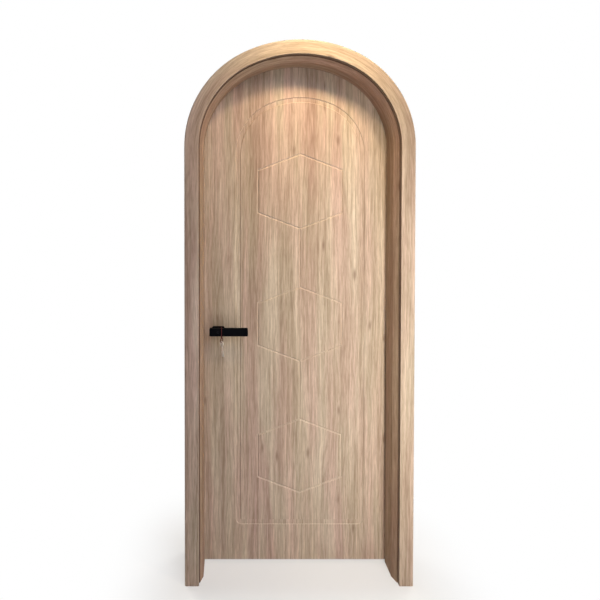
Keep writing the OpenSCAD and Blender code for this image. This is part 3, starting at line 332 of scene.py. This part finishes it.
def wood(name, grain, seed, painted_shade_tone=(1.0, 1.0, 1.0), gap_shade_reach=None):
    """Oak film: cream and pink zones, bands, streaks, cathedral figure, hairs, pores and knots.

    A painted highlight makes the film paler over edges and channels. The gap shade reach is the reach across
    the grain, from and to, that is darkened as painted shade for the shadow gap between casing and jamb. A
    shade tone below one darkens the whole film as painted shade.
    """

    # The film's colours, darkened by the tone given for painted shade.
    def dye(code):
        return [c * d for c, d in zip(rgb(code), painted_shade_tone)] + [1.0]

    look = Look(name)
    raw = grain(look)
    across, depth, along = look.split(raw)
    wander = look.noise(look.stretch(raw, WANDER_CELLS, (seed, 0.0, seed)), detail=1.0)
    bent = look.calc("MULTIPLY_ADD", look.minus(wander, NOISE_MIDDLE), WANDER_REACH, across)
    path = look.join(bent, depth, along)

    layers = {}
    for layer, (cells_across, cells_along, detail, roughness, shift) in GRAIN_LAYERS.items():
        spot = look.stretch(path, (cells_across, cells_across, cells_along), (seed * shift, 0.0, seed))
        layers[layer] = look.noise(spot, detail=detail, roughness=roughness)
    streaks = layers["streaks"]
    pores = layers["pores"]

    hill_shift = (seed * HILL_SHIFT_ACROSS, 0.0, seed * HILL_SHIFT_ALONG)
    hill = look.noise(look.stretch(path, HILL_CELLS, hill_shift), detail=1.0)
    ring = look.calc("PINGPONG", look.times(hill, RINGS_PER_HILL), HALF_RING)
    ring_line = look.span(ring, over=(0.0, 0.3), to=(1.0, 0.0))
    figure = look.times(ring_line, look.span(layers["bands"], over=(0.5, 0.62)))

    knot_spot = look.stretch(look.join(bent, along, 0.0), KNOT_CELLS, (seed, seed, 0.0))
    knot_gap, knot_draw = look.cells(knot_spot)
    drawn = look.calc("GREATER_THAN", look.split(knot_draw)[0], KNOT_THRESHOLD)
    ragged = look.calc("MULTIPLY_ADD", streaks, KNOT_RAGGEDNESS, knot_gap)
    knots = look.times(look.span(ragged, over=(0.14, 0.3), to=(1.0, 0.0)), drawn)

    tone = look.blend(look.span(layers["hues"], over=(0.34, 0.66)), dye(FILM_CREAM), dye(FILM_PINK))
    drift = look.span(layers["drift"], over=(0.35, 0.65), to=(0.0, DRIFT_STRENGTH))
    tone = look.blend(drift, tone, dye(FILM_TAN))
    for layer, contrast in GRAIN_CONTRAST.items():
        light = [1.0 + contrast * weight for weight in CONTRAST_WEIGHTS] + [1.0]
        dark = [1.0 - contrast * weight for weight in CONTRAST_WEIGHTS] + [1.0]
        shade = look.blend(look.span(layers[layer], over=(0.28, 0.72)), light, dark)
        tone = look.blend(1.0, tone, shade, "MULTIPLY")
    tone = look.blend(look.times(figure, FIGURE_STRENGTH), tone, dye(FIGURE_BROWN))
    tone = look.blend(look.span(pores, over=(0.58, 0.75), to=(0.0, PORE_STRENGTH)), tone, dye(PORE_BROWN))
    tone = look.blend(look.times(knots, KNOT_STRENGTH), tone, dye(KNOT_BROWN))
    # Painted highlight: the film is made paler on slopes and rounded edges.
    tone = look.blend(look.times(painted_edge_highlight(look), PAINTED_HIGHLIGHT_STRENGTH), tone, dye(PAINTED_HIGHLIGHT_CREAM))
    # Painted shade: a dark strip where the gap between casing and jamb lies in shadow.
    if gap_shade_reach:
        tone = look.blend(look.times(painted_gap_shade(look, across, gap_shade_reach), PAINTED_GAP_SHADE_STRENGTH), tone, rgb(PAINTED_GAP_SHADE_BROWN))
    look.set(
        Base_Color=tone,
        Roughness=look.span(streaks, over=(0.3, 0.7), to=(0.44, 0.58)),
        Specular_IOR_Level=FILM_SPECULAR,
    )
    look.bump(look.plus(look.times(pores, PORE_RELIEF_SHARE), layers["hairs"]), depth=FILM_RELIEF)
    return look.material


BRUSHED_CELLS = (90.0, 900.0, 900.0)
CAST_CELLS = (700.0, 700.0, 700.0)
METAL_SMOOTHER = 0.08
METAL_ROUGHER = 0.1


def metal(name, colour, shade, roughness, brushed):
    """A metal with a fine brushed or cast grain and faint stains."""
    look = Look(name)
    spot = look.place()
    grain = look.noise(look.stretch(spot, BRUSHED_CELLS if brushed else CAST_CELLS), detail=2.0)
    stain = look.noise(spot, scale=38.0, detail=3.0)
    tone = look.blend(look.span(stain, over=(0.4, 0.72)), rgb(colour), rgb(shade))
    tone = look.blend(look.span(grain, over=(0.3, 0.7), to=(0.0, 0.5)), tone, rgb(shade))
    rough_range = (roughness - METAL_SMOOTHER, roughness + METAL_ROUGHER)
    look.set(Base_Color=tone, Metallic=1.0, Roughness=look.span(grain, over=(0.25, 0.75), to=rough_range))
    look.bump(grain, depth=0.00006)
    return look.material


def coated(name, colour, shade):
    """A fine-textured coating."""
    look = Look(name)
    spot = look.place()
    orange_peel = look.noise(spot, scale=1500.0, detail=2.0)
    rub = look.noise(spot, scale=60.0, detail=4.0)
    look.set(
        Base_Color=look.blend(look.span(rub, over=(0.42, 0.75)), rgb(colour), rgb(shade)),
        Roughness=look.span(rub, over=(0.3, 0.7), to=(0.4, 0.55)),
        Specular_IOR_Level=0.06,
    )
    look.bump(orange_peel, depth=0.00005)
    return look.material


def rubber(name, colour, shade):
    """Matt rubber with a faint bloom along the strip."""
    look = Look(name)
    spot = look.place()
    bloom = look.noise(look.stretch(spot, scale=(60.0, 60.0, 9.0)), detail=3.0)
    grit = look.noise(spot, scale=1100.0, detail=1.0)
    look.set(
        Base_Color=look.blend(look.span(bloom, over=(0.35, 0.7)), rgb(colour), rgb(shade)),
        Roughness=look.span(bloom, over=(0.3, 0.7), to=(0.6, 0.8)),
    )
    look.bump(grit, depth=0.0001)
    return look.material


def board(name, pale, dark, dusty):
    """Raw particle board."""
    look = Look(name)
    spot = look.place()
    gap, draw = look.cells(spot, scale=260.0, dimensions="3D")
    chips = look.split(draw)[0]
    dust = look.noise(spot, scale=90.0, detail=3.0)
    tone = look.blend(chips, rgb(pale), rgb(dark))
    tone = look.blend(look.span(dust, over=(0.4, 0.7), to=(0.0, 0.5)), tone, rgb(dusty))
    look.set(Base_Color=tone, Roughness=look.span(gap, over=(0.0, 0.6), to=(0.75, 0.9)))
    look.bump(gap, depth=0.0004, strength=0.6)
    return look.material


# Strands of the tie per metre, across and along it.
STRANDS_ACROSS = 1600.0
STRANDS_ALONG = 2600.0


def twine(name, groove, crest, fluff):
    """A tie with twisted strands."""
    look = Look(name)
    x, y, z = look.split(look.place())
    lay_across = look.plus(look.times(x, STRANDS_ACROSS), look.times(y, STRANDS_ACROSS))
    lay = look.plus(lay_across, look.times(z, STRANDS_ALONG))
    strand = look.calc("PINGPONG", lay, 1.0)
    fuzz = look.noise(look.place(), scale=1400.0, detail=2.0)
    tone = look.blend(look.span(strand, over=(0.1, 0.7)), rgb(groove), rgb(crest))
    tone = look.blend(look.span(fuzz, over=(0.45, 0.75), to=(0.0, 0.5)), tone, rgb(fluff))
    look.set(Base_Color=tone, Roughness=look.span(fuzz, over=(0.3, 0.7), to=(0.6, 0.8)))
    look.bump(strand, depth=0.0003, strength=0.7)
    return look.material


def dress(material, *names):
    """Gives CAD nodes a material."""
    for name in names:
        nodes[name].data.materials.clear()
        nodes[name].data.materials.append(material)


casing_width = half_width - abs(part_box("front_casing_lock")[1].x)
# The painted gap shade reaches this far past the casing's inner edge.
gap_shade_end = casing_width + PAINTED_GAP_SHADE_WIDTH
# Painted shade: the jamb's film is darker and browner, standing in for the shade in the reveal.
JAMB_PAINTED_SHADE = (0.7, 0.615, 0.56)
dress(
    wood("film_jamb", round_the_frame, seed=3.0, painted_shade_tone=JAMB_PAINTED_SHADE, gap_shade_reach=(casing_width, gap_shade_end)),
    "lock_jamb", "hinge_jamb", "arch_jamb",
)
# The casing's inner edge gets the painted gap shade too.
dress(
    wood("film_casing", round_the_frame, seed=11.0, gap_shade_reach=(casing_width - PAINTED_GAP_SHADE_LAP, gap_shade_end)),
    "front_casing_lock", "front_casing_hinge", "front_casing_arch",
    "back_casing_lock", "back_casing_hinge", "back_casing_arch",
)
dress(wood("film_leaf", upright, seed=7.0), "front_skin", "back_skin", "hinge_stile", "lock_stile")
dress(wood("film_foot_rail", level, seed=8.0), "foot_rail")
dress(wood("film_arch_rail", round_the_frame, seed=9.0), "arch_rail")
dress(
    board("core_board", pale="D6BE93", dark="A98B5E", dusty="C9AD7E"),
    "head_dowels", "lock_block", "leaf_core",
)
dress(
    coated("black_coating", colour="030409", shade="08090F"),
    "front_rose", "back_rose", "front_lever", "back_lever", "turn_button",
)
dress(
    metal("satin_steel", colour="B9BABD", shade="8C8E92", roughness=0.34, brushed=True),
    "strike_plate", "strike_box", "strike_screws",
    "low_jamb_plate", "mid_jamb_plate", "top_jamb_plate", "jamb_plate_screws",
    "low_hinge_pin", "mid_hinge_pin", "top_hinge_pin",
    "low_leaf_plate", "mid_leaf_plate", "top_leaf_plate", "leaf_plate_screws",
    "lock_case", "lock_cover", "lock_faceplate", "faceplate_screws",
    "rose_bolts", "spindle", "follower", "latch_spring",
)
dress(coated("black_plug", colour="101117", shade="1E1F26"), "key_plug")
dress(
    metal("latch_brass", colour="C9A868", shade="9A7B43", roughness=0.3, brushed=False),
    "latch_bolt", "tailpiece",
)
dress(metal("key_nickel", colour="F4F1EC", shade="DCD8D1", roughness=0.58, brushed=True), "key_a", "key_b")
dress(rubber("seal_rubber", colour="4A382C", shade="5F4A3B"), "frame_seal")
dress(twine("tie_twine", groove="2C0708", crest="661217", fluff="3C0B0E"), "key_tie")


def make_latch_coil():
    """The latch's spring, a rigid copy that moves with the leaf; its far end stays in the lock case, where in
    the real lock the sliding latch presses it together.
    """
    coil = bpy.data.objects.new("latch_coil", nodes["latch_spring"].data.copy())
    scene.collection.objects.link(coil)
    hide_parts("latch_spring")
    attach(coil, "leaf")
    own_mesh(coil)


# The photograph's camera: its frame is square, in pixels, and its upright lines are almost parallel.
IMAGE_SIZE = 600
FOCAL_PIXELS = 386.6
EYE_COLUMN = 232
EYE_ROW = 210
EYE_PLACE = (-0.264, -1.598, 1.480)
EYE_DIP = math.radians(0.8)
SENSOR_MM = 36.0


def make_camera():
    """A camera at the photograph's viewing angle, with its frame moved as the photograph's is."""
    dip_pixels = FOCAL_PIXELS * math.tan(EYE_DIP)
    data = bpy.data.cameras.new("camera")
    data.sensor_width = SENSOR_MM
    data.lens = FOCAL_PIXELS / IMAGE_SIZE * SENSOR_MM
    data.shift_x = (IMAGE_SIZE / 2 - EYE_COLUMN) / IMAGE_SIZE
    data.shift_y = (EYE_ROW - IMAGE_SIZE / 2) / IMAGE_SIZE + dip_pixels / IMAGE_SIZE
    camera = bpy.data.objects.new("camera", data)
    camera.location = EYE_PLACE
    camera.rotation_euler = (math.pi / 2 - EYE_DIP, 0.0, 0.0)
    scene.collection.objects.link(camera)
    scene.camera = camera


# Lamps: place, target, width and height, watts, colour, spread in degrees.
ALL_ROUND = 180.0
DOOR_MIDDLE = (0.0, 0.0, 1.0)
BACK_SIZE = (1.4, 1.8)
LAMPS = {
    "head_light": ((0.05, -0.65, 2.64), (0.04, 0.0, 1.87), (0.16, 0.16), 1.26, "FFDFAC", 63.0),
    "shoulder_light": ((0.4, -0.62, 2.5), (0.1, 0.0, 1.6), (0.12, 0.12), 0.85, "FFD9A0", 74.0),
    "side_light": ((0.42, -0.55, 0.92), (0.22, 0.0, 0.92), (0.06, 1.5), 5.05, "FFF8E8", ALL_ROUND),
    "front_light": ((2.2, -4.4, 5.2), DOOR_MIDDLE, (3.0, 3.0), 84.0, "EAEEFF", ALL_ROUND),
    "left_back_light": ((-2.2, 1.6, 1.8), DOOR_MIDDLE, BACK_SIZE, 45.0, "FFFBF4", ALL_ROUND),
    "right_back_light": ((2.2, 1.6, 1.8), DOOR_MIDDLE, BACK_SIZE, 45.0, "FFFBF4", ALL_ROUND),
}


def make_lamp(name, place, target, size, power, colour, spread):
    """A soft lamp that the camera doesn't see."""
    data = bpy.data.lights.new(name, "AREA")
    data.shape = "RECTANGLE"
    data.size, data.size_y = size
    data.energy = power
    data.spread = math.radians(spread)
    data.color = rgb(colour)[:3]
    lamp = bpy.data.objects.new(name, data)
    lamp.location = place
    lamp.rotation_euler = (Vector(target) - Vector(place)).to_track_quat("-Z", "Y").to_euler()
    lamp.visible_camera = False
    scene.collection.objects.link(lamp)


AMBIENT = 0.115
AMBIENT_COLOUR = (1.0, 0.93, 0.86, 1.0)


def make_world():
    """Weak warm light from all round, which the camera, gloss and glass see as plain white."""
    world = bpy.data.worlds.new("studio")
    scene.world = world
    world.use_nodes = True
    tree = world.node_tree
    tree.nodes.clear()
    rays = tree.nodes.new("ShaderNodeLightPath")
    seen = tree.nodes.new("ShaderNodeMath")
    seen.operation = "MAXIMUM"
    seen_too = tree.nodes.new("ShaderNodeMath")
    seen_too.operation = "MAXIMUM"
    white = tree.nodes.new("ShaderNodeBackground")
    white.inputs["Color"].default_value = WHITE
    soft = tree.nodes.new("ShaderNodeBackground")
    soft.inputs["Color"].default_value = AMBIENT_COLOUR
    soft.inputs["Strength"].default_value = AMBIENT
    choice = tree.nodes.new("ShaderNodeMixShader")
    sky = tree.nodes.new("ShaderNodeOutputWorld")
    tree.links.new(rays.outputs["Is Camera Ray"], seen.inputs[0])
    tree.links.new(rays.outputs["Is Glossy Ray"], seen.inputs[1])
    tree.links.new(seen.outputs[0], seen_too.inputs[0])
    tree.links.new(rays.outputs["Is Transmission Ray"], seen_too.inputs[1])
    tree.links.new(seen_too.outputs[0], choice.inputs[0])
    tree.links.new(soft.outputs[0], choice.inputs[1])
    tree.links.new(white.outputs[0], choice.inputs[2])
    tree.links.new(choice.outputs[0], sky.inputs["Surface"])


FLOOR_REACH = 9.0
FLOOR_FADE = (-0.3, 0.35)


def make_floor():
    """A pale floor that takes the door's shadow and fades to white away from it."""
    corners = [(sx * FLOOR_REACH, sy * FLOOR_REACH, 0) for sx, sy in ((-1, -1), (1, -1), (1, 1), (-1, 1))]
    mesh = bpy.data.meshes.new("floor")
    mesh.from_pydata(corners, [], [(0, 1, 2, 3)])
    floor = bpy.data.objects.new("floor", mesh)
    scene.collection.objects.link(floor)
    look = Look("pale_floor")
    spot = look.place()
    mottle = look.noise(spot, scale=14.0, detail=4.0)
    look.set(
        Base_Color=look.blend(mottle, rgb("FBFAF9"), rgb("F6F5F3")),
        Roughness=0.85,
        Specular_IOR_Level=0.2,
    )
    x, y, _ = look.split(spot)
    beside = look.calc("MAXIMUM", look.minus(look.calc("ABSOLUTE", x), half_width), 0.0)
    before = look.calc("MAXIMUM", look.minus(look.calc("ABSOLUTE", y), cad_high.y), 0.0)
    away = look.span(look.length(beside, before), over=FLOOR_FADE)
    rays = look.add("ShaderNodeLightPath")
    plain = look.add("ShaderNodeEmission")
    plain.inputs["Color"].default_value = WHITE
    mix = look.add("ShaderNodeMixShader")
    look.put(mix.inputs[0], look.times(away, rays.outputs["Is Camera Ray"]))
    look.put(mix.inputs[1], look.shader.outputs["BSDF"])
    look.put(mix.inputs[2], plain.outputs[0])
    look.put(look.output.inputs["Surface"], mix.outputs[0])
    mesh.materials.append(look.material)


make_latch_coil()
make_camera()
for lamp_name, settings in LAMPS.items():
    make_lamp(lamp_name, *settings)
make_world()
make_floor()
scene.view_settings.view_transform = "Standard"
